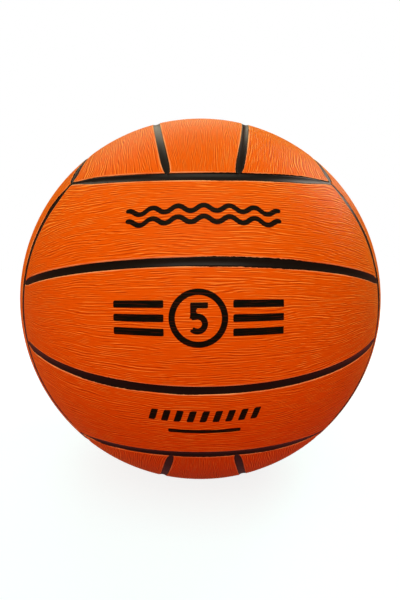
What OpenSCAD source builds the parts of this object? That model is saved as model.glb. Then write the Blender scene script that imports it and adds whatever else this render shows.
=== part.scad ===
// Water polo ball: a rubber bladder wound with nylon thread, a rubber carcass,
// and a cover of eighteen rubber panels parted by black seam channels.
// Millimetres. The origin is the centre of the ball, +Z is up, and the front is at -Y.
// The valve is in the middle panel of the back, at +Y.

/* [Ball] */
// Outside diameter over the cover panels
ball_d = 220; // [205:1:235]
// Width of a middle panel at its waist, seam centre to seam centre, along the surface
middle_strip_w = 52; // [44:0.5:60]
// Width of an outer panel at its waist, seam centre to seam centre, along the surface
outer_strip_w = 38.5; // [34:0.5:44]

/* [Cover] */
// Thickness of the cover panels
panel_t = 1.3; // [1.1:0.1:2.5]
// Width of the black channel between two panels
channel_w = 3.4; // [2:0.1:5]
// Depth of the channel's floor below the cover
channel_depth = 0.8; // [0.4:0.1:0.9]

/* [Inner layers] */
// Cement line between two bonded layers
bond_gap = 0.1; // [0.05:0.05:0.2]
// Thickness of the carcass under the cover
carcass_t = 0.4; // [0.3:0.1:1]
// Thickness of the nylon winding
winding_t = 0.5; // [0.3:0.1:1]
// Thickness of the bladder's wall
bladder_t = 0.6; // [0.4:0.1:1.2]

/* [Valve housing] */
// Diameter of the housing's neck, which comes up through all layers
neck_d = 12; // [11:0.5:16]
// Gap all round the neck where it passes through a layer
neck_gap = 0.2; // [0.1:0.05:0.5]
// Depth of the housing's face below the cover
face_recess = 0.5; // [0.2:0.1:1]
// Length of the housing from its face to its inner end
housing_l = 19; // [18:0.5:24]
// Diameter of the flange that is bonded inside the bladder
flange_d = 30; // [20:1:40]
// Thickness of that flange
flange_t = 1.2; // [0.8:0.1:2]

/* [Valve plug] */
// Diameter of the plug's shank
plug_d = 6; // [5:0.5:7]
// Diameter of the plug's head
head_d = 8.6; // [8:0.1:9.4]
// Thickness of the plug's head
head_t = 1.6; // [1:0.1:2.5]
// Depth of the head's face below the housing's face
head_recess = 0.4; // [0.2:0.1:1]
// Length of the plug from its face to its tip
plug_l = 15; // [13:0.5:17]
// Diameter of the plug's tip
tip_d = 4; // [3:0.5:4.5]
// Length of the taper to the tip
tip_l = 3; // [2:0.5:4]
// Gap between the plug and its seat, all round and under the head
plug_gap = 0.05; // [0.02:0.01:0.1]
// Diameter of the guide hole for the inflating needle
guide_d = 1.9; // [1.5:0.1:2.5]
// Length of the guide hole, above the slit that closes the plug
guide_l = 10; // [6:0.5:11]
// Width of the lead-in round the mouth of the guide hole
guide_lead = 0.7; // [0.3:0.1:1.2]

/* [Hidden] */
$fn = 96;

// Radii of the layers, from the cover inwards
ball_r = ball_d / 2;
panel_in_r = ball_r - panel_t;
floor_r = ball_r - channel_depth;
carcass_r = panel_in_r - bond_gap;
carcass_in_r = carcass_r - carcass_t;
winding_r = carcass_in_r - bond_gap;
winding_in_r = winding_r - winding_t;
bladder_r = winding_in_r - bond_gap;
bladder_in_r = bladder_r - bladder_t;
flange_r = bladder_in_r - bond_gap;

// Each of the six sides of the ball holds three panels, side by side.
// A side is drawn facing +Z with its panels along X, and is turned into place.
// Two seams part its panels: they are great circles through the ends of the X axis.
seam_tilt = middle_strip_w / 2 / ball_r * 180 / PI;
// The long seams that bound a side are flat arcs through two corners of the cube
// that the ball is laid out on, and through the waist of the outer panels.
waist_tilt = (middle_strip_w / 2 + outer_strip_w) / ball_r * 180 / PI;
corner_share = 1 / sqrt(3);
edge_tilt = atan((corner_share - sin(waist_tilt)) / (cos(waist_tilt) - corner_share));
edge_dist = ball_r * sin(waist_tilt + edge_tilt);

// The prisms that cut a panel out run from well inside the cover to outside it
cut_low_share = 0.3;
cut_high_share = 1.1;
cut_low = ball_r * cut_low_share;
cut_high = ball_r * cut_high_share;

// The valve's stations along its own axis
face_r = ball_r - face_recess;
head_top = face_r - head_recess;
head_seat = head_top - head_t;
plug_end = head_top - plug_l;
housing_end = face_r - housing_l;
// Length past a face by which a cut overruns it
overrun = 1;

// Sides: name, turn into place, name of the panel at +Y before the turn, and at -Y
SIDES = [
    ["front", [90, 0, 0], "upper", "lower"],
    ["back", [-90, 0, 0], "lower", "upper"],
    ["top", [0, 0, 90], "left", "right"],
    ["bottom", [180, 0, 90], "right", "left"],
    ["left", [0, -90, 0], "rear", "fore"],
    ["right", [180, -90, 0], "fore", "rear"]
];
VALVE_SIDE = SIDES[1];
// Places of the three panels across a side
PLACES = [1, 0, -1];

function panel_name(side, place) =
    str("panel_", side[0], "_", place == 1 ? side[2] : place == 0 ? "middle" : side[3]);

// Half the width, at height z, between the middle of a side and the seam of its middle panel
function seam_y(z, inset) = (z * sin(seam_tilt) + inset) / cos(seam_tilt);

// Distance, at height z, from the middle of a side to its long edge
function edge_y(z, inset) = (edge_dist - inset - z * sin(edge_tilt)) / cos(edge_tilt);

// Height at which the end seam of a side lies, at distance x along the panel
function end_z(x, inset) = (edge_dist + inset - x * sin(edge_tilt)) / cos(edge_tilt);

// Outline across the panels of a side, as Y and Z
function strip_outline(place, inset) =
    place == 0
    ? [
        [-seam_y(cut_low, -inset), cut_low],
        [seam_y(cut_low, -inset), cut_low],
        [seam_y(cut_high, -inset), cut_high],
        [-seam_y(cut_high, -inset), cut_high]
    ]
    : [
        [place * seam_y(cut_low, inset), cut_low],
        [place * edge_y(cut_low, inset), cut_low],
        [place * edge_y(cut_high, inset), cut_high],
        [place * seam_y(cut_high, inset), cut_high]
    ];

// Outline along the panels of a side, as X and Z
function length_outline(inset) = [
    [-cut_high, end_z(cut_high, inset)],
    [0, end_z(0, inset)],
    [cut_high, end_z(cut_high, inset)],
    [cut_high, cut_high],
    [-cut_high, cut_high]
];

// Wedge that holds one panel of a side, its walls set in from the seams' centres
module panel_wedge(place, inset) {
    intersection() {
        rotate([90, 0, 90])
            linear_extrude(height = 2 * cut_high, center = true)
                polygon(strip_outline(place, inset));
        rotate([90, 0, 0])
            linear_extrude(height = 2 * cut_high, center = true)
                polygon(length_outline(inset));
    }
}

// Hollow sphere
module ball_shell(outer_r, inner_r) {
    difference() {
        sphere(r = outer_r);
        sphere(r = inner_r);
    }
}

// Hole through a layer for the valve's neck, before the turn to the valve's side
module neck_hole() {
    translate([0, 0, flange_r - flange_t])
        cylinder(d = neck_d + 2 * neck_gap, h = ball_r - flange_r + flange_t + overrun);
}

// Layer that goes all round the ball, with the hole for the valve
module layer(outer_r, inner_r) {
    difference() {
        ball_shell(outer_r, inner_r);
        rotate(VALVE_SIDE[1]) neck_hole();
    }
}

// One orange cover panel
module cover_panel(side, place) {
    color("orangered")
        rotate(side[1])
            difference() {
                intersection() {
                    ball_shell(ball_r, panel_in_r);
                    panel_wedge(place, channel_w / 2);
                }
                if (side == VALVE_SIDE && place == 0) neck_hole();
            }
}

// Black rubber lattice that floors every channel
module seam_channel() {
    color("black")
        difference() {
            ball_shell(floor_r, panel_in_r);
            for (side = SIDES)
                for (place = PLACES)
                    rotate(side[1])
                        panel_wedge(place, channel_w / 2 - bond_gap);
        }
}

// Rubber sheet that ties the cover to the winding
module carcass() {
    color("dimgray") layer(carcass_r, carcass_in_r);
}

// Nylon thread wound in every direction, as one layer
module nylon_winding() {
    color("ivory") layer(winding_r, winding_in_r);
}

// Butyl bladder that holds the air
module bladder() {
    color("darkslategray") layer(bladder_r, bladder_in_r);
}

// Flange of the housing, curved to the bladder's inner wall
module housing_flange() {
    intersection() {
        ball_shell(flange_r, flange_r - flange_t);
        cylinder(d = flange_d, h = ball_r);
    }
}

// Rubber housing of the valve, with the stepped seat for the plug
module valve_housing() {
    color("black")
        rotate(VALVE_SIDE[1])
            difference() {
                union() {
                    intersection() {
                        sphere(r = face_r);
                        translate([0, 0, housing_end]) cylinder(d = neck_d, h = housing_l);
                    }
                    housing_flange();
                }
                translate([0, 0, housing_end - overrun])
                    cylinder(d = plug_d + 2 * plug_gap, h = housing_l + 2 * overrun);
                translate([0, 0, head_seat - plug_gap])
                    cylinder(d = head_d + 2 * plug_gap, h = ball_r - head_seat + overrun);
            }
}

// Self-sealing plug, with the guide hole for the needle
module valve_plug() {
    color("dimgray")
        rotate(VALVE_SIDE[1])
            difference() {
                union() {
                    translate([0, 0, head_seat]) cylinder(d = head_d, h = head_t);
                    translate([0, 0, plug_end + tip_l])
                        cylinder(d = plug_d, h = head_seat - plug_end - tip_l);
                    translate([0, 0, plug_end])
                        cylinder(d1 = tip_d, d2 = plug_d, h = tip_l);
                }
                translate([0, 0, head_top - guide_l])
                    cylinder(d = guide_d, h = guide_l + overrun);
                translate([0, 0, head_top - guide_lead])
                    cylinder(d1 = guide_d, d2 = guide_d + 2 * guide_lead, h = guide_lead);
            }
}

for (side = SIDES)
    for (place = PLACES)
        cover_panel(side, place);
seam_channel();
carcass();
nylon_winding();
bladder();
valve_housing();
valve_plug();
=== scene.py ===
# Water polo ball: eighteen grained rubber panels over a black channel lattice, with a plug valve at the back
import math
import bmesh
import bpy
import numpy as np
from mathutils import Euler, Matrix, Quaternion, Vector


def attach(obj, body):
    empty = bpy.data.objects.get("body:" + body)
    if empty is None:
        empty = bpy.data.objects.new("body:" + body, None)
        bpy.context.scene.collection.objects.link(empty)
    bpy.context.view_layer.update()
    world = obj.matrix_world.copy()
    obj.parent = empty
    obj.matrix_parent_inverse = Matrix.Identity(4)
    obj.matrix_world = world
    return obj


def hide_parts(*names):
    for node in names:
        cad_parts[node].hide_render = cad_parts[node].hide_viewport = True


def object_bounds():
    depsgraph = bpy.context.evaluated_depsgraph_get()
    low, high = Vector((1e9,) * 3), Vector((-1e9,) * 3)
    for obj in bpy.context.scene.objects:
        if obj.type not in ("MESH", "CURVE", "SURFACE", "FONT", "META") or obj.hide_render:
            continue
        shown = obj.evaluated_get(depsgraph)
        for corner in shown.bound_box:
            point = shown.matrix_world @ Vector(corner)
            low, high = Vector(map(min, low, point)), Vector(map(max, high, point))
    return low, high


bpy.context.scene.view_settings.view_transform = "Standard"
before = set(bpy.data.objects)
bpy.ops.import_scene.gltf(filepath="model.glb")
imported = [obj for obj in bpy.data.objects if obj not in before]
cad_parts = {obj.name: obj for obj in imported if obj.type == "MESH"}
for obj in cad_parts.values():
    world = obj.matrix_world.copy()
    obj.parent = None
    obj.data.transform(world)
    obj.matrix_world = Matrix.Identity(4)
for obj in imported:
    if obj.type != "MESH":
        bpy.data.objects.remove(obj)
cadLow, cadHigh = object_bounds()
mm = 0.001

# the ball's own sizes, in metres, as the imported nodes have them
ball = {
    "radius": round((cadHigh.x - cadLow.x) / 2, 5),
    "middleStrip": 52 * mm,      # waist of a middle panel, seam centre to seam centre
    "outerStrip": 38.5 * mm,     # the same for an outer panel
    "channelWidth": 3.4 * mm,
    "panelThickness": 1.3 * mm,
}
# each side: name, turn into place, panel on its +Y hand before the turn, panel on its -Y hand
sides = [
    ("front", (90, 0, 0), "upper", "lower"),
    ("back", (-90, 0, 0), "lower", "upper"),
    ("top", (0, 0, 90), "left", "right"),
    ("bottom", (180, 0, 90), "right", "left"),
    ("left", (0, -90, 0), "rear", "fore"),
    ("right", (180, -90, 0), "fore", "rear"),
]
places = (1, 0, -1)              # the three panels across a side
radius = ball["radius"]
panelInner = radius - ball["panelThickness"]
halfChannel = ball["channelWidth"] / 2
seamTilt = ball["middleStrip"] / 2 / radius
waistTilt = (ball["middleStrip"] / 2 + ball["outerStrip"]) / radius
cornerShare = 1 / math.sqrt(3)
edgeTilt = math.atan((cornerShare - math.sin(waistTilt)) / (math.cos(waistTilt) - cornerShare))
edgeDistance = radius * math.sin(waistTilt + edgeTilt)


def turnOf(side):
    return np.array(Euler([math.radians(a) for a in side[1]]).to_matrix())


def panelName(side, place):
    placeName = "middle" if place == 0 else side[2] if place == 1 else side[3]
    return f"panel_{side[0]}_{placeName}"


view = {
    "distance": 2.295,     # in ball radii
    "pitch": 6.03,         # degrees that the camera is raised
    "yaw": 0.87,           # degrees that it stands to the left
    "roll": 0.25,
    "lens": 22.36,         # millimetres on a 36 mm sensor
    "shift": (-0.00067, -0.002),
    "nearest": 0.01,       # metres from which it sees
}


def makeCamera():
    data = bpy.data.cameras.new("camera")
    data.lens = view["lens"]
    data.shift_x, data.shift_y = view["shift"]
    data.clip_start = view["nearest"]
    camera = bpy.data.objects.new("camera", data)
    bpy.context.scene.collection.objects.link(camera)
    pitch, yaw = math.radians(view["pitch"]), math.radians(view["yaw"])
    flat = math.cos(pitch)
    away = Vector((-math.sin(yaw) * flat, -math.cos(yaw) * flat, math.sin(pitch)))
    camera.location = away * view["distance"] * radius
    roll = Quaternion((0, 0, 1), -math.radians(view["roll"]))
    camera.rotation_mode = "QUATERNION"
    camera.rotation_quaternion = (-away).to_track_quat("-Z", "Y") @ roll
    bpy.context.scene.camera = camera
    print("camera set")


def linearColour(hexColour):
    channels = [int(hexColour[i:i + 2], 16) / 255 for i in (1, 3, 5)]
    return [c / 12.92 if c < 0.04045 else ((c + 0.055) / 1.055) ** 2.4 for c in channels] + [1]


# settings that several nodes share
smooth = {"interpolation_type": "SMOOTHSTEP"}
asColour = {"data_type": "RGBA"}
multiply, multiplyAdd, maximum = ({"operation": name} for name in ("MULTIPLY", "MULTIPLY_ADD", "MAXIMUM"))


def addNode(tree, kind, settings=None, out=0, **links):
    # one node with its settings, which gives its output of that name or number; an input goes by its name,
    # with _ for a blank, or by its number after i, and takes a socket, a hex colour or its plain value
    node = tree.nodes.new("ShaderNode" + kind)
    for name, value in (settings or {}).items():
        setattr(node, name, value)
    for name, value in links.items():
        key = int(name[1:]) if name[0] == "i" and name[1:].isdigit() else name.replace("_", " ")
        if isinstance(value, bpy.types.NodeSocket):
            tree.links.new(value, node.inputs[key])
        else:
            node.inputs[key].default_value = linearColour(value) if isinstance(value, str) else value
    return node.outputs[out] if len(node.outputs) else None


def perMetre(size):
    # a pattern's scale for features of this many millimetres
    return 1 / (size * mm)


def bandScale(spacing):
    # a wave pattern's scale for bands this many millimetres apart
    return math.pi / 10 / (spacing * mm)


def newMaterial(name):
    material = bpy.data.materials.new(name)
    material.use_nodes = True
    material.node_tree.nodes.clear()
    return material, material.node_tree


def finishSurface(tree, look, colour, shinePattern, height):
    # what every material of the ball ends in; the fourth argument is the pattern that its roughness follows
    roughness = addNode(tree, "MapRange", Value=shinePattern, **look["roughness"])
    relief = addNode(tree, "Bump", Height=height, **look["bump"])
    shader = addNode(tree, "BsdfPrincipled", Base_Color=colour, Roughness=roughness, Normal=relief,
                     **look.get("shader", {}))
    addNode(tree, "OutputMaterial", Surface=shader)


# white paper sweep: it looks white and still takes the ball's shadow
floor = {
    "half": 4.0,                 # metres from its middle to its edge
    "seen": "#6FA3BC",           # for the camera: bluish, so that warm light leaves it grey
    "bounce": "#AA2A1C",         # for all other rays: warm, which lights the ball from below
    # white that is added for the eye: the metres from the ball's foot, and how much there
    "lift": {"From_Min": 0.14, "From_Max": 0.60, "To_Min": 0.84, "To_Max": 1.0},
    "mirrored": 0.1,             # share of that white in reflections
}
# light from all round, for the ball alone; the eye sees white there
roomLight = {"Color": "#FFA078", "Strength": 0.17}


def rayShare(tree, shares):
    # the largest share whose kind of ray this is, and 0 for the light that falls on the ball
    most = 0.0
    for kind, share in shares.items():
        part = addNode(tree, "Math", multiply, i0=addNode(tree, "LightPath", out=kind), i1=share)
        most = addNode(tree, "Math", maximum, i0=part, i1=most)
    return most


def makeFloor():
    material, tree = newMaterial("paper_sweep")
    byCamera = rayShare(tree, {"Is Camera Ray": 1.0})
    shade = addNode(tree, "Mix", asColour, out=2, Factor=byCamera, i6=floor["bounce"], i7=floor["seen"])
    paper = addNode(tree, "BsdfDiffuse", Color=shade)
    seen = rayShare(tree, {"Is Camera Ray": 1.0, "Is Transmission Ray": 1.0,
                           "Is Glossy Ray": floor["mirrored"]})
    where = addNode(tree, "TexCoord", out="Object")
    flat = addNode(tree, "VectorMath", multiply, i0=where, i1=(1, 1, 0))
    away = addNode(tree, "VectorMath", {"operation": "LENGTH"}, out="Value", i0=flat)
    lift = addNode(tree, "MapRange", smooth, Value=away, **floor["lift"])
    glow = addNode(tree, "Emission", Strength=addNode(tree, "Math", multiply, i0=lift, i1=seen))
    addNode(tree, "OutputMaterial", Surface=addNode(tree, "AddShader", i0=paper, i1=glow))
    bm = bmesh.new()
    bmesh.ops.create_grid(bm, x_segments=2, y_segments=2, size=floor["half"])
    bmesh.ops.translate(bm, verts=bm.verts, vec=(0, 0, -radius))
    sheet = meshObject("floor", bm, [material])
    print("floor laid")


def makeRoom():
    world = bpy.data.worlds.new("studio")
    bpy.context.scene.world = world
    world.use_nodes = True
    tree = world.node_tree
    tree.nodes.clear()
    warm = addNode(tree, "Background", **roomLight)
    white = addNode(tree, "Background", Color="#FFFFFF", Strength=1.0)
    seen = rayShare(tree, {"Is Camera Ray": 1.0, "Is Transmission Ray": 1.0})
    addNode(tree, "OutputWorld", Surface=addNode(tree, "MixShader", i0=seen, i1=warm, i2=white))
    print("room lit")


# softboxes that face the ball: name, place and size in metres, then watts and colour of the near neutral
# lamp that the ball mirrors, and of the tinted fill that it doesn't mirror
softboxes = [
    ("high_front", (0.0, -0.50, 0.62), (0.6, 0.5), (2.8, "#F8FBD6"), None),
    ("high_back", (-0.15, 0.40, 0.65), (0.7, 0.4), (1.7, "#FAF4D8"), (1.8, "#B8FF88")),
    ("side", (0.62, 0.35, 0.60), (0.3, 0.5), (2.0, "#FFF6E6"), (2.2, "#EAFFA0")),
    ("front", (-0.05, -0.95, 0.40), (0.9, 0.6), None, (5.0, "#FFB28C")),
    ("left", (-0.95, 0.0, 0.0), (0.4, 0.6), None, (2.6, "#FFB884")),
    ("back", (0.05, 0.95, 0.30), (0.9, 0.6), None, (4.0, "#FFB28C")),
]


def hangLamp(name, place, size, watts, colour, mirrored):
    data = bpy.data.lights.new(name, "AREA")
    data.shape = "RECTANGLE"
    data.size, data.size_y = size
    data.energy = watts
    data.color = linearColour(colour)[:3]
    lamp = bpy.data.objects.new(name, data)
    lamp.location = place
    lamp.visible_glossy = mirrored
    lamp.rotation_mode = "QUATERNION"
    lamp.rotation_quaternion = (-Vector(place)).to_track_quat("-Z", "Y")
    bpy.context.scene.collection.objects.link(lamp)


def makeLights():
    for name, place, size, mirrored, fill in softboxes:
        if mirrored:
            hangLamp(name, place, size, *mirrored, True)
        if fill:
            hangLamp(name + "_fill", place, size, *fill, False)
    print("softboxes hung:", len(softboxes))


# meshes
def meshObject(name, bm, materials):
    mesh = bpy.data.meshes.new(name)
    bm.to_mesh(mesh)
    bm.free()
    for material in materials:
        mesh.materials.append(material)
    mesh.shade_smooth()
    piece = bpy.data.objects.new(name, mesh)
    bpy.context.scene.collection.objects.link(piece)
    return piece


def newVerts(result):
    return [g for g in result["geom"] if isinstance(g, bmesh.types.BMVert)]


def isClosed(bm):
    return all(len(e.link_faces) == 2 for e in bm.edges)


def readPoints(mesh):
    points = np.empty(len(mesh.vertices) * 3)
    mesh.vertices.foreach_get("co", points)
    return points.reshape(-1, 3)


def writePoints(mesh, points):
    mesh.vertices.foreach_set("co", points.astype(np.float32).ravel())
    mesh.update()


def writeAttribute(mesh, name, values):
    attribute = mesh.attributes.new(name, "FLOAT", "POINT")
    attribute.data.foreach_set("value", values.astype(np.float32))


def smoothStep(x, low, high):
    share = np.clip((x - low) / (high - low), 0, 1)
    return share * share * (3 - 2 * share)


rippleCells = 256                # the ripple comes round again after this many cells


def ripple(x, y, seed):
    # smooth two-way noise from about -0.7 to 0.7 on a lattice of unit cells
    angles = np.random.default_rng(seed).random((rippleCells, rippleCells)) * 2 * math.pi
    left, low = np.floor(x).astype(int), np.floor(y).astype(int)
    fx, fy = x - left, y - low

    def corner(dx, dy):
        angle = angles[(left + dx) % rippleCells, (low + dy) % rippleCells]
        return np.cos(angle) * (fx - dx) + np.sin(angle) * (fy - dy)

    def ease(t):
        return t * t * t * (t * (t * 6 - 15) + 10)

    ex, ey = ease(fx), ease(fy)
    bottom = corner(0, 0) * (1 - ex) + corner(1, 0) * ex
    top = corner(0, 1) * (1 - ex) + corner(1, 1) * ex
    return bottom * (1 - ey) + top * ey


# moulded grain: fine wavering lines that run along each panel, and fade in and out
grain = {
    "depth": 0.12 * mm,          # from crest to groove
    "spacing": 1.15,             # millimetres from line to line
    "second": 0.92,              # spacing of a second family that crosses the first at a hair's angle
    "secondShare": 0.8,          # height of that family beside the first
    "drift": (24.0, 9.0, 2.2),   # length and width of the wavering in millimetres, and its size in spacings
    "jitter": (9.0, 2.0, 0.30),  # the same for a smaller wavering
    "patch": (22.0, 2.0),        # length and width of the places where the first family shows
    "patchEdge": 0.35,           # softness of those places
    "fadeFrom": 0.3 * mm,        # the grain dies out at the rolled edge
    "fadeTo": 1.3 * mm,
}


def grainHeight(along, across, seed):
    # 0 in the deepest grooves, 1 on the crests
    x, y = along / mm, across / mm

    def lines(spacing, firstSeed):
        waver = sum(size * ripple(x / long, y / wide, firstSeed + step)
                    for step, (long, wide, size) in enumerate((grain["drift"], grain["jitter"])))
        return np.sin(2 * math.pi * (y / spacing + waver))

    (patchLong, patchWide), soft = grain["patch"], grain["patchEdge"]
    shows = smoothStep(ripple(x / patchLong, y / patchWide, seed + 4), -soft, soft)
    first, second = lines(grain["spacing"], seed), lines(grain["second"], seed + 2)
    return np.clip(0.5 + 0.5 * (shows * first + (1 - shows) * grain["secondShare"] * second), 0, 1)


# cover panels
panel = {
    "middleCells": (24, 22),     # coarse cells of the skin, along and across
    "outerCells": (20, 17),
    "cuts": 9,                   # each cell of the skin is cut into tens both ways
    "edgeRoll": 0.55 * mm,       # radius of the rolled edge
    "edgeRows": (0.25, 0.045),   # row spacing at the edge, and how fast it widens, as shares
    "mapStep": 0.05,             # metres between the maps of two panels
    "noPrint": 9.0,              # the distance to the print, in millimetres, on panels that have none
}
# needle valve in the middle panel of the back; its axis is the ball's +Y
valve = {
    "hole": 6.2 * mm,
    "cells": (34, 20),           # coarse cells of the skin of that panel, along and across
    "block": (2, 4),             # cells that the hole takes out of it
    "slack": 0.001,              # allowance in telling that block from the rest
    "spread": 2.2,               # how many times the block's size the cells are bent round the hole
    "rim": 0.25,                 # reach of the closer rows at the hole's edge
    "closer": 0.7,               # how much closer they are
}


def openHole(points, flatU, flatV, cells):
    # bends the cells round the block that was left out into rings round a circular hole
    sizes = [np.abs(flat) * count / part
             for flat, count, part in zip((flatU, flatV), cells, valve["block"])]
    size = np.maximum(*sizes)
    x, y, _ = points.T
    rho, r = np.hypot(x, y), np.linalg.norm(points, axis=1)
    past = size - 1
    ring = valve["hole"] * (1 + past - valve["closer"] * valve["rim"] * (1 - np.exp(-past / valve["rim"])))
    share = smoothStep(size, 1, valve["spread"])
    scale = ((1 - share) * ring + share * rho) / rho
    x, y = x * scale, y * scale
    return np.stack([x, y, np.sqrt(r * r - x * x - y * y)], 1), scale


def crowdEdges(x):
    # -1 to 1 in even steps becomes -1 to 1 with rows close together at both ends
    least, reach = panel["edgeRows"]
    size = np.abs(x)
    moved = size - (1 - least) * reach * (np.exp(-(1 - size) / reach) - math.exp(-1 / reach))
    return np.sign(x) * moved / (1 - (1 - least) * reach * (1 - math.exp(-1 / reach)))


def seamRise(a, r, inset):
    # elevation of an inner seam's wall about the strip's axis
    return seamTilt + np.arcsin(inset / (r * np.cos(a)))


def edgeRise(a, r, inset):
    # the same for the long edge's wall
    return np.arcsin((edgeDistance - inset) / (r * np.cos(a))) - edgeTilt


def endReach(b, r, inset):
    # angle along the strip at which the end wall lies
    up = np.cos(b) * math.cos(edgeTilt)
    return np.arctan2(math.sin(edgeTilt), up) + np.arccos(
        (edgeDistance + inset) / (r * np.hypot(math.sin(edgeTilt), up)))


# the channels narrow at their ends
taper = {
    "junction": (0.40, 6 * mm),  # least share of an inner channel's width, and the length of its narrowing
    "tip": 0.3 * mm,             # length of its blunt end
    "corner": 0.30,              # least share of a long channel's width, where three sides meet
    "cornerReach": 1.2 * mm,     # how far from the corner it stays so
}
# the long channels of each side: the length over which they widen from a corner, and the share they widen to
longTaper = {
    "front": (24 * mm, 0.90), "back": (24 * mm, 0.90), "top": (6 * mm, 1.0), "bottom": (6 * mm, 1.0),
    "left": (14 * mm, 1.20), "right": (14 * mm, 1.20),
}
junctionHalf, cornerHalf = halfChannel * taper["junction"][0], halfChannel * taper["corner"]
# the side whose long channel closes the ends of each side's panels; its opposite has the same widths
nextSide = {"front": "left", "back": "left", "top": "front", "bottom": "front", "left": "top", "right": "top"}


def longHalf(name):
    # half of the full width of a side's long channel
    return halfChannel * longTaper[name][1]


def insideEnds(points):
    # distance of each point from the middle of its side's end seam, towards the panels
    x, _, z = points.T
    return z * math.cos(edgeTilt) + np.abs(x) * math.sin(edgeTilt) - edgeDistance


def seamHalf(points, name):
    # half of an inner channel's width: a rounded tip where it meets the next side
    ahead = insideEnds(points) - longHalf(nextSide[name])
    least, length = taper["junction"]
    share = np.clip((ahead - taper["tip"]) / length, 0, 1)
    return halfChannel * (least + (1 - least) * np.sqrt(1 - (1 - share) ** 2))


def edgeHalf(points, name):
    # half of the width of a side's long channel: thin at the corners where three sides meet
    away = np.linalg.norm(np.abs(points) - radius * cornerShare, axis=1)
    widens = smoothStep(away, taper["cornerReach"], longTaper[name][0])
    return cornerHalf + (longHalf(name) - cornerHalf) * widens


def seamWall(a, r, hand, name):
    return seamRise(a, r, hand * seamHalf(spherePoints(a, seamRise(a, r, 0), radius), name))


def edgeWall(a, r, hand, name):
    return edgeRise(a, r, hand * edgeHalf(spherePoints(a, edgeRise(a, r, 0), radius), name))


def endWall(b, r, name):
    return endReach(b, r, edgeHalf(spherePoints(endReach(b, r, 0), b, radius), nextSide[name]))


def endCorner(normal, offset, r, half):
    # angles of the point where a side wall meets the end wall on a sphere of radius r
    end = np.array([math.sin(edgeTilt), 0, math.cos(edgeTilt)])
    reach = edgeDistance + half
    dot = normal @ end
    base = ((offset - reach * dot) * normal + (reach - offset * dot) * end) / (1 - dot * dot)
    line = np.cross(normal, end)
    line *= np.sign(line[0]) / np.linalg.norm(line)
    point = base + np.sqrt(r * r - base @ base)[:, None] * line
    return np.arcsin(point[:, 0] / r), np.arctan2(point[:, 1], point[:, 2])


def wrapPanel(u, v, place, r, name):
    # u runs from end to end and v from side to side of a panel; r is the radius of each point
    seamNormal = np.array([0, math.cos(seamTilt), -math.sin(seamTilt)])
    edgeNormal = np.array([0, math.cos(edgeTilt), math.sin(edgeTilt)])
    endHalf = longHalf(nextSide[name])
    if place == 0:
        across, rise = np.abs(v), lambda a: seamWall(a, r, -1, name)
        lowA, lowB = endReach(np.zeros_like(u), r, endHalf), np.zeros_like(u)
        highA, highB = endCorner(seamNormal, -junctionHalf, r, endHalf)
        low = lambda a: np.zeros_like(a)
    else:
        across, rise = v * place * 0.5 + 0.5, lambda a: edgeWall(a, r, 1, name)
        lowA, lowB = endCorner(seamNormal, junctionHalf, r, endHalf)
        highA, highB = endCorner(edgeNormal, edgeDistance - cornerHalf, r, cornerHalf)
        low = lambda a: seamWall(a, r, 1, name)
    # a patch between its four edges, worked out for the half with positive angles
    size = np.abs(u)
    endB = lowB + (highB - lowB) * across
    endA = endWall(endB, r, name)
    midB = low(0 * u) + (rise(0 * u) - low(0 * u)) * across
    a = size * endA
    b = ((1 - across) * low(size * lowA) + across * rise(size * highA)
         + (1 - size) * midB + size * endB
         - (1 - across) * ((1 - size) * low(0 * u) + size * lowB)
         - across * ((1 - size) * rise(0 * u) + size * highB))
    # the side walls are exact where the patch meets them
    onWall = 1e-6
    b = np.where(across > 1 - onWall, rise(a), b)
    b = np.where(across < onWall, low(a), b)
    hand = np.where(v < 0, -1, 1) if place == 0 else place
    return np.sign(u) * a, hand * b


def wallDistance(points, place, name):
    # distance of each point from the nearest wall of its panel, in metres
    _, y, z = points.T
    long, short = edgeHalf(points, name), seamHalf(points, name)
    ends = insideEnds(points) - edgeHalf(points, nextSide[name])
    if place == 0:
        walls = z * math.sin(seamTilt) - np.abs(y) * math.cos(seamTilt) - short
    else:
        inner = place * y * math.cos(seamTilt) - z * math.sin(seamTilt) - short
        outer = edgeDistance - long - z * math.sin(edgeTilt) - place * y * math.cos(edgeTilt)
        walls = np.minimum(inner, outer)
    return np.minimum(ends, walls)


def spherePoints(a, b, r):
    return np.stack([r * np.sin(a), r * np.cos(a) * np.sin(b), r * np.cos(a) * np.cos(b)], 1)


def rollDrop(distance, roll):
    # depth of a rolled edge below the cover at this distance from the wall
    rest = np.clip(roll - distance, 0, roll)
    return roll - np.sqrt(roll * roll - rest * rest)


halfway = -0.5                   # height in a blank that parts its top from its underside


def panelBlank(cells, holed):
    # a flat box from -1 to 1 and one high; its top is cut fine, and so is the lower rim of its hole
    bm = bmesh.new()
    bmesh.ops.create_grid(bm, x_segments=cells[0], y_segments=cells[1], size=1)
    halfU, halfV = (part / count + valve["slack"] for part, count in zip(valve["block"], cells))

    def inBlock(point):
        return abs(point.x) < halfU and abs(point.y) < halfV

    if holed:
        inside = [f for f in bm.faces if inBlock(f.calc_center_median())]
        bmesh.ops.delete(bm, geom=inside, context="FACES")
    under = bmesh.ops.extrude_face_region(bm, geom=bm.faces[:])
    bmesh.ops.translate(bm, verts=newVerts(under), vec=(0, 0, -1))
    fine = [e for e in bm.edges if all(v.co.z > halfway for v in e.verts)]
    if holed:
        fine += [e for e in bm.edges if all(v.co.z < halfway and inBlock(v.co) for v in e.verts)]
    bmesh.ops.subdivide_edges(bm, edges=fine, cuts=panel["cuts"], use_grid_fill=True)
    bmesh.ops.recalc_face_normals(bm, faces=bm.faces[:])
    return bm


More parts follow.
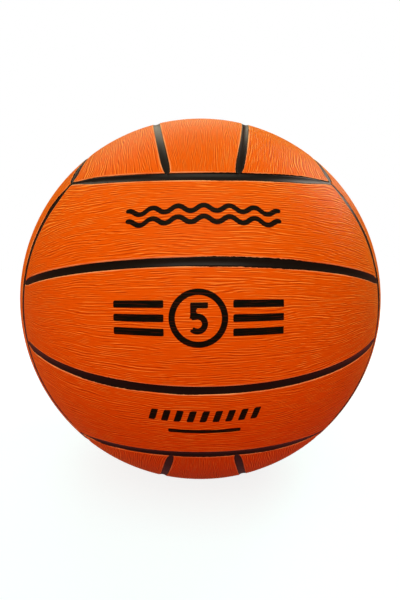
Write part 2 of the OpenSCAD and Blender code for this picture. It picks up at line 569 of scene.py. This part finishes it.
def makePanel(side, place, seed, material):
    holed = side[0] == "back" and place == 0
    cells = valve["cells"] if holed else panel["middleCells"] if place == 0 else panel["outerCells"]
    name = panelName(side, place)
    piece = meshObject(name + "_cover", panelBlank(cells, holed), [material])
    mesh = piece.data
    flat = readPoints(mesh)
    u, v, onTop = crowdEdges(flat[:, 0]), crowdEdges(flat[:, 1]), flat[:, 2] > halfway

    def place3d(r):
        points = spherePoints(*wrapPanel(u, v, place, r, side[0]), r)
        return openHole(points, flat[:, 0], flat[:, 1], cells) if holed else (points, np.ones(len(u)))

    points, scale = place3d(np.full(len(u), radius))
    distance = wallDistance(points, place, side[0])
    if holed:
        distance = np.minimum(distance, np.hypot(points[:, 0], points[:, 1]) - valve["hole"])
    a, b = np.arcsin(points[:, 0] / radius), np.arctan2(points[:, 1], points[:, 2])
    halfStrip = (ball["middleStrip"] if place == 0 else ball["outerStrip"]) / 2
    along, across = a * radius, v * halfStrip * scale
    height = grainHeight(along, across, seed)
    fade = smoothStep(distance, grain["fadeFrom"], grain["fadeTo"])
    drop = rollDrop(distance, panel["edgeRoll"]) + grain["depth"] * (1 - height) * fade
    points, scale = place3d(np.where(onTop, radius - drop, panelInner))
    writePoints(mesh, points @ turnOf(side).T)
    printed = inkDistance(a * radius, b * radius) if side[0] == "front" else np.full(len(u), panel["noPrint"])
    writeAttribute(mesh, "relief", 0.5 + (height - 0.5) * fade)
    writeAttribute(mesh, "wall", distance / mm)
    writeAttribute(mesh, "ink", printed)
    layer = mesh.uv_layers.new(name="panel")
    corner = np.empty(len(mesh.loops), int)
    mesh.loops.foreach_get("vertex_index", corner)
    flatMap = np.stack([along, across + seed * panel["mapStep"]], 1)
    layer.uv.foreach_set("vector", flatMap[corner].astype(np.float32).ravel())
    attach(piece, "ball")
    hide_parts(name)
    return piece


# generic print on the front, in millimetres: two wave lines, a ring with a plain figure between bars,
# a row of ticks over a short bar
ink = {
    "waves": {"at": (43.6, 48.6), "half": 31.2, "height": 1.25, "length": 10.4, "width": 2.3},
    "ring": {"at": (-2.5, 4.0), "radius": 10.3, "width": 2.5},
    "bars": {"half": 10.5, "gap": 3.2, "width": 3.1, "step": 5.6},
    "ticks": {"at": -39.0, "count": 9, "step": 5.4, "height": 6.0, "width": 2.9, "lean": 0.28},
    "under": {"at": -47.6, "half": 15.5, "width": 2.1},
}
# the plain 5 in the ring: its height in millimetres, and the rest as shares of that
figure = {
    "height": 12.5, "stroke": 0.19,
    "topAt": 0.03, "topHalf": 0.27,
    "uprightLeft": 0.25, "uprightAt": 0.24, "uprightLength": 0.46,
    "bowlAt": (-0.03, -0.17), "bowlRadius": 0.33,
    "bowlOpens": 140,            # degrees from the right at which the bowl ends, on its left
    "clear": 9.0,                # millimetres to the bowl's line that count where the bowl is open
}


def barShape(x, y, centre, half, width):
    # half is half of its size along x, and width all of its size along y
    dx = np.abs(x - centre[0]) - half
    dy = np.abs(y - centre[1]) - width / 2
    return np.hypot(np.maximum(dx, 0), np.maximum(dy, 0)) + np.minimum(np.maximum(dx, dy), 0)


def ringShape(x, y, ringRadius, width):
    return np.abs(np.hypot(x, y) - ringRadius) - width / 2


def figureFive(x, y):
    size = figure["height"]
    stroke = size * figure["stroke"]
    top = barShape(x, y, (size * figure["topAt"], size * 0.5 - stroke / 2), size * figure["topHalf"], stroke)
    uprightAt = (-size * figure["uprightLeft"] + stroke / 2, size * figure["uprightAt"])
    upright = barShape(x, y, uprightAt, stroke / 2, size * figure["uprightLength"])
    bowlX, bowlY = (size * share for share in figure["bowlAt"])
    bowl = ringShape(x - bowlX, y - bowlY, size * figure["bowlRadius"] - stroke / 2, stroke)
    angle = np.arctan2(y - bowlY, x - bowlX)
    opening = np.where(np.abs(angle) < math.radians(figure["bowlOpens"]), -figure["clear"], figure["clear"])
    return np.minimum(np.minimum(top, upright), np.maximum(bowl, opening))


def waveShape(x, y, wave, at):
    # a wavering line with round ends
    turns = 2 * math.pi / wave["length"]
    nearX = np.clip(x, -wave["half"], wave["half"])
    slope = turns * wave["height"] * np.sin(turns * nearX)
    lift = (y - at - wave["height"] * np.cos(turns * nearX)) / np.sqrt(1 + slope * slope)
    return np.hypot(lift, x - nearX) - wave["width"] / 2


def inkDistance(along, across):
    # signed distance to the print in millimetres, negative inside it
    x, y = along / mm, across / mm
    ring, bars, ticks, under = ink["ring"], ink["bars"], ink["ticks"], ink["under"]
    shapes = [waveShape(x, y, ink["waves"], at) for at in ink["waves"]["at"]]
    cx, cy = ring["at"]
    shapes += [ringShape(x - cx, y - cy, ring["radius"], ring["width"]), figureFive(x - cx, y - cy)]
    for hand in (-1, 1):
        middle = cx + hand * (ring["radius"] + bars["gap"] + bars["half"])
        for step in (-1, 0, 1):
            shapes.append(barShape(x, y, (middle, cy + step * bars["step"]), bars["half"], bars["width"]))
    leaned = x - ticks["lean"] * (y - ticks["at"])
    for number in range(ticks["count"]):
        middle = (number - (ticks["count"] - 1) / 2) * ticks["step"]
        shapes.append(barShape(leaned, y, (middle, ticks["at"]), ticks["width"] / 2, ticks["height"]))
    shapes.append(barShape(x, y, (0, under["at"]), under["half"], under["width"]))
    return np.minimum.reduce(shapes)


# vulcanised natural rubber, moulded against an engraved mould: satin, dense colour, streaked grain
cover = {
    # the groove colour is painted shade in the grain's grooves, the crest colour a painted highlight on its
    # crests
    "body": "#E66D04", "grooveShade": "#B23E02", "crestHighlight": "#FFB44A", "edge": "#FFCE94",
    "ink": "#0A1211", "channel": "#0B0C0D",
    "hairs": (perMetre(16.67), bandScale(0.7854), 1),    # fine lines between the moulded ones: along, across
    "hairWave": {"Scale": 1.0, "Distortion": 7.0, "Detail": 2.0, "Detail_Scale": 1.0,
                 "Detail_Roughness": 0.6},
    "hairShare": 0.35,                                   # their height beside the moulded lines'
    "low": {"From_Min": 0.05, "From_Max": 0.62},         # from the painted shade of the grooves to the body's colour
    "high": {"From_Min": 0.78, "From_Max": 1.25, "To_Max": 0.9},    # from the body's colour to the painted highlight of the crests
    "patches": {"Scale": perMetre(35.71), "Detail": 1.0},
    "highlightPatches": {"From_Min": 0.4, "From_Max": 0.6, "To_Min": 0.6, "To_Max": 1.1},    # the crests' painted highlight, stronger in patches
    # painted highlight along the rolled edge, in the edge colour: the noise that places it, its strength
    # there, and its reach from the wall
    "glintNoise": {"Scale": perMetre(14.29), "Detail": 3.0},
    "edgeGlints": {"From_Min": 0.35, "From_Max": 0.65, "To_Min": 0.15, "To_Max": 0.85},
    "rolled": {"From_Min": 0.4, "From_Max": 0.8, "To_Min": 1.0, "To_Max": 0.0},    # millimetres from the wall
    "rag": {"Scale": perMetre(1.538), "Detail": 4.0},
    # how far the channel's black comes over the edge, in millimetres
    "creep": {"From_Min": 0.52, "From_Max": 0.68, "To_Min": -0.16, "To_Max": -0.8},
    "creepEdge": {"From_Min": -0.05, "From_Max": 0.05, "To_Min": 1.0, "To_Max": 0.0},
    "printEdge": {"From_Min": -0.06, "From_Max": 0.06, "To_Min": 1.0, "To_Max": 0.0},
    "printHeld": {"From_Min": 0.05, "From_Max": 0.5, "To_Min": 0.9},    # the deepest grooves miss a little
    "tooth": {"Scale": perMetre(0.4), "Detail": 2.0},    # coarser than the real one, so that it shows
    "toothShare": 0.6,
    "roughness": {"To_Min": 0.52, "To_Max": 0.42},       # in the grooves, and on the crests
    "bump": {"Strength": 0.9, "Distance": 0.05 * mm},
    "shader": {"Specular_IOR_Level": 0.05, "Sheen_Weight": 0.12, "Sheen_Roughness": 0.35,
               "Sheen_Tint": "#F0FF60"},
}


def coverRubber():
    material, tree = newMaterial("vulcanised_rubber_moulded")
    relief, wall, printAt = (addNode(tree, "Attribute", {"attribute_name": name}, out="Fac")
                             for name in ("relief", "wall", "ink"))
    flatMap = addNode(tree, "UVMap", {"uv_map": "panel"})
    where = addNode(tree, "TexCoord", out="Object")
    patches, glintNoise, rag, tooth = (addNode(tree, "TexNoise", out="Fac", Vector=where, **cover[name])
                                 for name in ("patches", "glintNoise", "rag", "tooth"))
    # painted shade darkens the grooves and a painted highlight pales the crests, with hair lines between them
    drawn = addNode(tree, "Mapping", Vector=flatMap, Scale=cover["hairs"])
    hairs = addNode(tree, "TexWave", {"bands_direction": "Y"}, out="Fac", Vector=drawn, **cover["hairWave"])
    lines = addNode(tree, "Math", multiplyAdd, i0=hairs, i1=cover["hairShare"], i2=relief)
    low = addNode(tree, "MapRange", smooth, Value=lines, **cover["low"])
    high = addNode(tree, "MapRange", smooth, Value=lines, **cover["high"])
    highlightPatches = addNode(tree, "MapRange", Value=patches, **cover["highlightPatches"])
    crestHighlights = addNode(tree, "Math", multiply, i0=high, i1=highlightPatches)
    # painted highlight: the rolled edge is painted paler in places, where light would catch its lip
    edgeGlints = addNode(tree, "MapRange", Value=glintNoise, **cover["edgeGlints"])
    rolled = addNode(tree, "MapRange", Value=wall, **cover["rolled"])
    shinePattern = addNode(tree, "Math", multiply, i0=edgeGlints, i1=rolled)
    # black of the channel creeps a little over the panel's edge here and there
    reach = addNode(tree, "MapRange", Value=patches, **cover["creep"])
    border = addNode(tree, "Math", multiplyAdd, i0=rag, i1=reach, i2=wall)
    crept = addNode(tree, "MapRange", Value=border, **cover["creepEdge"])
    inked = addNode(tree, "MapRange", Value=printAt, **cover["printEdge"])
    held = addNode(tree, "MapRange", Value=lines, **cover["printHeld"])
    printed = addNode(tree, "Math", multiply, i0=inked, i1=held)
    # each colour goes over those before it
    body = cover["grooveShade"]
    for share, colour in ((low, "body"), (crestHighlights, "crestHighlight"), (shinePattern, "edge"), (crept, "channel"),
                          (printed, "ink")):
        body = addNode(tree, "Mix", asColour, out=2, Factor=share, i6=body, i7=cover[colour])
    # the hair lines in relief, and a fine moulded tooth
    height = addNode(tree, "Math", multiplyAdd, i0=tooth, i1=cover["toothShare"], i2=hairs)
    finishSurface(tree, cover, body, lines, height)
    return material


def makePanels():
    material = coverRubber()
    for number, side in enumerate(sides):
        for place in places:
            makePanel(side, place, number * len(places) + place + 2, material)
    print("panels made:", len(sides) * len(places))


# black channel lattice between the panels: concave
channel = {
    "acrossSteps": 10,
    "seamSteps": 120,
    "tipRows": 1.4,              # how much closer the rows stand at the tips
    "edgeSteps": (34, 28),       # along a long channel: past an outer panel's end, and past a middle one's
    "lip": 0.20 * mm,            # depth of its edge below the cover
    "dip": 0.30 * mm,            # further depth of its middle
    "widest": 1.2,               # largest half width, in halves of the plain channel
    "skin": 0.5 * mm,            # points less deep than this are on its face
    "weld": 0.012 * mm,
}


def meetPoint(normalA, offsetA, normalB, offsetB, near):
    # the point of the ball's surface that lies on two planes, on the side of near
    dot = normalA @ normalB
    base = ((offsetA - offsetB * dot) * normalA + (offsetB - offsetA * dot) * normalB) / (1 - dot * dot)
    line = np.cross(normalA, normalB)
    line /= np.linalg.norm(line)
    reach = math.sqrt(radius * radius - base @ base)
    ends = [base + reach * line, base - reach * line]
    return max(ends, key=lambda end: end @ near)


def addStrip(bm, sideA, sideB):
    # a grid between two rows of points that run along a channel
    steps = len(sideA) - 1
    sheet = bmesh.ops.create_grid(bm, x_segments=steps, y_segments=channel["acrossSteps"], size=1)
    for vertex in sheet["verts"]:
        i, share = round((vertex.co.x + 1) / 2 * steps), (vertex.co.y + 1) / 2
        vertex.co = Vector(sideA[i] + (sideB[i] - sideA[i]) * share).normalized() * radius


def addSeam(bm, turn, hand, name):
    # the channel between a middle panel and an outer one
    r = np.array([radius])
    seamNormal = np.array([0, math.cos(seamTilt), -math.sin(seamTilt)])
    rows = []
    for lean in (-1, 1):
        reach = endCorner(seamNormal, lean * junctionHalf, r, longHalf(nextSide[name]))[0]
        a = np.linspace(-1, 1, channel["seamSteps"] + 1)
        a = np.sign(a) * (1 - (1 - np.abs(a)) ** channel["tipRows"]) * reach
        rows.append(spherePoints(a, hand * seamWall(a, radius, lean, name), radius) @ turn.T)
    addStrip(bm, *rows)


def addEdge(bm, turn, hand, name, corners):
    # the channel between two sides, with the mouths of the next side's two seams
    cosS, sinS, cosT, sinT = math.cos(seamTilt), math.sin(seamTilt), math.cos(edgeTilt), math.sin(edgeTilt)
    edge = np.array([0, hand * cosT, sinT])
    near, far, wide = edgeDistance - cornerHalf, edgeDistance + cornerHalf, edgeDistance + longHalf(name)
    stops = []
    for end in (-1, 1):
        hint = np.array([end, hand, 1])
        nextSeam = np.array([end * cosS, -hand * sinS, 0])
        nextEdge = np.array([end * cosT, hand * sinT, 0])
        mouths = [meetPoint(edge, wide, nextSeam, offset, hint)[0]
                  for offset in (junctionHalf, -junctionHalf)]
        stops.append([meetPoint(edge, far, nextEdge, near, hint)[0]] + mouths)
        corners.append(turn @ meetPoint(edge, near, np.array([end * sinT, 0, cosT]), far, hint))
    stops = [math.asin(x / radius) for x in stops[0] + stops[1][::-1]]
    (outer, middle), mouth = channel["edgeSteps"], channel["acrossSteps"]
    a = np.concatenate([np.linspace(stops[i], stops[i + 1], count, endpoint=False)
                        for i, count in enumerate((outer, mouth, middle, mouth, outer))] + [[stops[-1]]])
    farSide = spherePoints(a, hand * edgeWall(a, radius, -1, name), radius)
    # the other border takes its points at the same shares
    reach = math.asin(abs((turn.T @ corners[-1])[0]) / radius)
    a = a / stops[-1] * reach
    nearSide = spherePoints(a, hand * edgeWall(a, radius, 1, name), radius)
    addStrip(bm, nearSide @ turn.T, farSide @ turn.T)


def panelGap(points):
    # distance from each point to the nearest panel, on the ball's surface
    best = np.full(len(points), 1.0)
    for side in sides:
        local = points @ turnOf(side)
        _, y, z = local.T
        long, short = edgeHalf(local, side[0]), seamHalf(local, side[0])
        end = edgeHalf(local, nextSide[side[0]]) - insideEnds(local)
        seam = np.abs(y) * math.cos(seamTilt) - z * math.sin(seamTilt)
        edge = np.abs(y) * math.cos(edgeTilt) + z * math.sin(edgeTilt) - edgeDistance + long
        outside = np.maximum(end, 0) ** 2
        middle = np.sqrt(outside + np.maximum(seam + short, 0) ** 2)
        outer = np.sqrt(outside + np.maximum(short - seam, 0) ** 2 + np.maximum(edge, 0) ** 2)
        best = np.where(z > 0, np.minimum(best, np.minimum(middle, outer)), best)
    return best


def makeChannel():
    bm = bmesh.new()
    corners = []
    for side in sides:
        for hand in (-1, 1):
            addSeam(bm, turnOf(side), hand, side[0])
            addEdge(bm, turnOf(side), hand, side[0], corners)
    # a three-sided patch closes each place where three sides meet
    for signs in np.array(np.meshgrid([-1, 1], [-1, 1], [-1, 1])).T.reshape(-1, 3):
        trio = [bm.verts.new(corner) for corner in corners if np.all(np.sign(corner) == signs)]
        patch = bm.faces.new(trio)
        bmesh.ops.subdivide_edges(bm, edges=patch.edges[:], cuts=channel["acrossSteps"] - 1,
                                  use_grid_fill=True)
    for vertex in bm.verts:
        vertex.co = vertex.co.normalized() * radius
    bmesh.ops.remove_doubles(bm, verts=bm.verts[:], dist=channel["weld"])
    bmesh.ops.recalc_face_normals(bm, faces=bm.faces[:])
    under = bmesh.ops.extrude_face_region(bm, geom=bm.faces[:], use_keep_orig=True)
    bmesh.ops.scale(bm, verts=newVerts(under), vec=[panelInner / radius] * 3)
    bmesh.ops.recalc_face_normals(bm, faces=bm.faces[:])
    print("channel closed:", isClosed(bm), "faces:", len(bm.faces))
    piece = meshObject("seam_channel_lattice", bm, [channelRubber()])
    points = readPoints(piece.data)
    length = np.linalg.norm(points, axis=1)
    gap = panelGap(points * (radius / length)[:, None])
    share = np.clip(gap / halfChannel, 0, channel["widest"])
    depth = channel["lip"] + channel["dip"] * (1 - (1 - share) ** 2)
    r = np.where(length > radius - channel["skin"], radius - depth, length)
    writePoints(piece.data, points * (r / length)[:, None])
    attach(piece, "ball")
    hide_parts("seam_channel")


# black vulcanised rubber against a polished mould: half glossy, with soft waves that bend its shine
lattice = {
    "dark": "#0C0F0E", "pale": "#181C1A",
    "waves": {"Scale": perMetre(3.846), "Detail": 3.0},
    "dust": {"Scale": perMetre(0.7143), "Detail": 2.0},      # coarser than the real one, so that it shows
    "dustShare": 0.3,
    "roughness": {"To_Min": 0.28, "To_Max": 0.42},
    "bump": {"Strength": 0.35, "Distance": 0.1 * mm},
    "shader": {"Specular_IOR_Level": 0.18, "Specular_Tint": "#F0E4FF"},
}


def channelRubber():
    material, tree = newMaterial("black_rubber_polished")
    where = addNode(tree, "TexCoord", out="Object")
    waves, dust = (addNode(tree, "TexNoise", out="Fac", Vector=where, **lattice[name])
                   for name in ("waves", "dust"))
    colour = addNode(tree, "Mix", asColour, out=2, Factor=dust, i6=lattice["dark"], i7=lattice["pale"])
    height = addNode(tree, "Math", multiplyAdd, i0=dust, i1=lattice["dustShare"], i2=waves)
    finishSurface(tree, lattice, colour, waves, height)
    return material


# valve: both parts are turned, with every moulded edge rounded; in millimetres, as radii, or as places
# along the axis from the ball's centre
housing = {
    "face": 109.5, "length": 19.0, "neck": 6.0, "bore": 3.05, "seat": 107.45, "seatBore": 4.35,
    "flange": 15.0, "flangeOuter": 106.8, "flangeInner": 105.6,
    "rubber": {"dark": "#101113", "pale": "#26282A", "roughness": {"To_Min": 0.34, "To_Max": 0.54}},
}
plug = {
    "top": 109.1, "seat": 107.5, "head": 4.3, "shank": 3.0, "taper": 97.1, "end": 94.1, "tip": 2.0,
    "guide": 0.95, "guideEnd": 99.1, "lead": 1.65, "leadEnd": 108.4,
    "rubber": {"dark": "#1C1D1E", "pale": "#3A3C3D", "roughness": {"To_Min": 0.42, "To_Max": 0.62}},
}
turning = {
    "steps": 128,
    "bend": 6,                   # points on each rounding
    "weld": 0.002 * mm,
}


def roundProfile(corners):
    # corners as radius, height and rounding; each rounding becomes a smooth bend
    path = []
    for i, (x, z, rounding) in enumerate(corners):
        here = np.array([x, z])
        before, after = np.array(corners[i - 1][:2]), np.array(corners[(i + 1) % len(corners)][:2])
        if rounding == 0:
            path.append(here)
            continue
        start = here + (before - here) / np.linalg.norm(before - here) * rounding
        stop = here + (after - here) / np.linalg.norm(after - here) * rounding
        path += [(1 - t) ** 2 * start + 2 * t * (1 - t) * here + t * t * stop
                 for t in np.linspace(0, 1, turning["bend"])]
    return path


def turnPiece(name, corners, closed, material):
    # a profile spun about the valve's axis, then laid along +Y
    bm = bmesh.new()
    points = [bm.verts.new((x * mm, 0, z * mm)) for x, z in roundProfile(corners)]
    pairs = list(zip(points, points[1:])) + ([(points[-1], points[0])] if closed else [])
    edges = [bm.edges.new(pair) for pair in pairs]
    bmesh.ops.spin(bm, geom=points + edges, axis=(0, 0, 1), cent=(0, 0, 0), angle=2 * math.pi,
                   steps=turning["steps"], use_merge=True)
    bmesh.ops.remove_doubles(bm, verts=bm.verts[:], dist=turning["weld"])
    bmesh.ops.rotate(bm, verts=bm.verts, cent=(0, 0, 0), matrix=Euler((-math.pi / 2, 0, 0)).to_matrix())
    bmesh.ops.recalc_face_normals(bm, faces=bm.faces[:])
    print(name, "closed:", isClosed(bm), "faces:", len(bm.faces))
    return meshObject(name, bm, [material])


def domeCorner(r, x, rounding):
    # a corner of the profile that lies on a sphere of radius r about the ball's centre
    return x, math.sqrt(r * r - x * x), rounding


def dome(r, start, stop, steps):
    # points of a spherical face between two distances from the axis
    return [domeCorner(r, x, 0) for x in np.linspace(start, stop, steps)[1:-1]]


def makeHousing():
    # each corner: distance from the axis, height, rounding
    face, bore, neck, flange = housing["face"], housing["bore"], housing["neck"], housing["flange"]
    inner, outer, seatBore = housing["flangeInner"], housing["flangeOuter"], housing["seatBore"]
    end = face - housing["length"]
    corners = [(bore, end, 0.3), (neck, end, 0.5), domeCorner(inner, neck, 0.6)]
    corners += dome(inner, neck + 0.8, flange - 0.4, 8)
    corners += [domeCorner(inner, flange, 0.3), domeCorner(outer, flange, 0.4)]
    corners += dome(outer, flange - 0.5, neck + 0.6, 8)
    corners += [domeCorner(outer, neck, 0.3), domeCorner(face, neck, 0.45)]
    corners += dome(face, neck - 0.5, seatBore + 0.3, 5)
    corners += [domeCorner(face, seatBore, 0.22), (seatBore, housing["seat"], 0.1),
                (bore, housing["seat"], 0.1)]
    material = valveRubber("black_rubber_moulded", housing["rubber"])
    piece = turnPiece("valve_housing_moulded", corners, True, material)
    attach(piece, "ball")
    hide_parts("valve_housing")


def makePlug():
    top, seat, shank, guide = plug["top"], plug["seat"], plug["shank"], plug["guide"]
    corners = [(0, plug["guideEnd"], 0), (guide, plug["guideEnd"], 0.2), (guide, plug["leadEnd"], 0.15),
               (plug["lead"], top, 0.15), (plug["head"], top, 0.3), (plug["head"], seat, 0.15),
               (shank, seat, 0.1), (shank, plug["taper"], 0.5), (plug["tip"], plug["end"], 0.3),
               (0, plug["end"], 0)]
    material = valveRubber("soft_rubber_moulded", plug["rubber"])
    piece = turnPiece("valve_plug_moulded", corners, False, material)
    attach(piece, "plug")
    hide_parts("valve_plug")


# soft black rubber straight from the mould: matt, with mould powder in cloudy patches
softRubber = {
    "bloom": {"Scale": perMetre(2.381), "Detail": 4.0},
    "powdered": {"From_Min": 0.45, "From_Max": 0.75},
    "tooth": {"Scale": perMetre(0.3125), "Detail": 2.0},     # coarser than the real one, so that it shows
    "bump": {"Strength": 0.4, "Distance": 0.04 * mm},
    "shader": {"Specular_IOR_Level": 0.35},
}


def valveRubber(name, rubber):
    material, tree = newMaterial(name)
    where = addNode(tree, "TexCoord", out="Object")
    bloom, tooth = (addNode(tree, "TexNoise", out="Fac", Vector=where, **softRubber[part])
                    for part in ("bloom", "tooth"))
    powder = addNode(tree, "MapRange", Value=bloom, **softRubber["powdered"])
    colour = addNode(tree, "Mix", asColour, out=2, Factor=powder, i6=rubber["dark"], i7=rubber["pale"])
    finishSurface(tree, {**softRubber, **rubber}, colour, bloom, tooth)
    return material


# the layers inside the cover keep the CAD's meshes and take their looks here
carcass = {
    "dark": "#1B1A19", "pale": "#2C2A28",
    "cloud": {"Scale": perMetre(16.67), "Detail": 4.0},
    "weave": {"Scale": bandScale(0.952), "Distortion": 0.6},
    "roughness": {"To_Min": 0.62, "To_Max": 0.8},
    "bump": {"Strength": 0.5, "Distance": 0.05 * mm},
}
winding = {
    "thread": "#D8D2C2", "latex": "#9B9484",
    "threads": {"Scale": bandScale(1.0134), "Distortion": 0.4},
    "patches": {"Scale": perMetre(18.18), "Detail": 1.0},    # where one winding lies on top
    "onTop": {"From_Min": 0.42, "From_Max": 0.58},
    "turns": [(0.3, 0.2, 0.1), (1.2, 0.5, 0.7), (2.1, 1.3, 0.2), (0.7, 2.4, 1.5)],
    "roughness": {"To_Min": 0.7, "To_Max": 0.4},
    "bump": {"Strength": 0.8, "Distance": 0.2 * mm},
}
bladder = {
    "butyl": "#141414", "talc": "#77756F",
    "wipes": {"Scale": perMetre(28.57), "Detail": 6.0, "Distortion": 1.2},
    "talced": {"From_Min": 0.45, "From_Max": 0.85, "To_Max": 0.6},
    "grit": {"Scale": perMetre(0.6667), "Detail": 2.0},      # coarser than the real one, so that it shows
    "roughness": {"To_Min": 0.35, "To_Max": 0.85},
    "bump": {"Strength": 0.3, "Distance": 0.05 * mm},
}


def carcassRubber():
    # calendered rubber sheet: dull, with the faint weave of the cloth it was rolled in
    material, tree = newMaterial("calendered_rubber_sheet")
    where = addNode(tree, "TexCoord", out="Object")
    cloud = addNode(tree, "TexNoise", out="Fac", Vector=where, **carcass["cloud"])
    warp, weft = (addNode(tree, "TexWave", {"bands_direction": axis}, out="Fac", Vector=where,
                          **carcass["weave"]) for axis in ("X", "Z"))
    cloth = addNode(tree, "Math", multiply, i0=warp, i1=weft)
    colour = addNode(tree, "Mix", asColour, out=2, Factor=cloud, i6=carcass["dark"], i7=carcass["pale"])
    finishSurface(tree, carcass, colour, cloud, cloth)
    return material


def woundNylon():
    # nylon thread wound in every direction and dipped in latex: crossing bands with a soft gleam
    material, tree = newMaterial("nylon_thread_wound")
    where = addNode(tree, "TexCoord", out="Object")
    high = 0.0
    for number, turn in enumerate(winding["turns"]):
        turned = addNode(tree, "Mapping", Vector=where, Rotation=turn)
        threads = addNode(tree, "TexWave", {"bands_direction": "Z"}, out="Fac", Vector=turned,
                          Phase_Offset=float(number), **winding["threads"])
        patches = addNode(tree, "TexNoise", out="Fac", Vector=turned, **winding["patches"])
        onTop = addNode(tree, "MapRange", Value=patches, **winding["onTop"])
        lifted = addNode(tree, "Math", multiply, i0=threads, i1=onTop)
        high = addNode(tree, "Math", maximum, i0=high, i1=lifted)
    colour = addNode(tree, "Mix", asColour, out=2, Factor=high, i6=winding["latex"], i7=winding["thread"])
    finishSurface(tree, winding, colour, high, high)
    return material


def butylRubber():
    # moulded butyl, dusted with talc: near black, with pale cloudy wipes
    material, tree = newMaterial("butyl_rubber_talced")
    where = addNode(tree, "TexCoord", out="Object")
    wipes, grit = (addNode(tree, "TexNoise", out="Fac", Vector=where, **bladder[name])
                   for name in ("wipes", "grit"))
    talc = addNode(tree, "MapRange", Value=wipes, **bladder["talced"])
    colour = addNode(tree, "Mix", asColour, out=2, Factor=talc, i6=bladder["butyl"], i7=bladder["talc"])
    finishSurface(tree, bladder, colour, wipes, grit)
    return material


def dressLayers():
    looks = {"carcass": carcassRubber(), "nylon_winding": woundNylon(), "bladder": butylRubber()}
    for node, material in looks.items():
        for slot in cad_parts[node].material_slots:
            slot.material = material
    print("inner layers dressed:", len(looks))


makeCamera()
makeFloor()
makeRoom()
makeLights()
makePanels()
makeChannel()
makeHousing()
makePlug()
dressLayers()
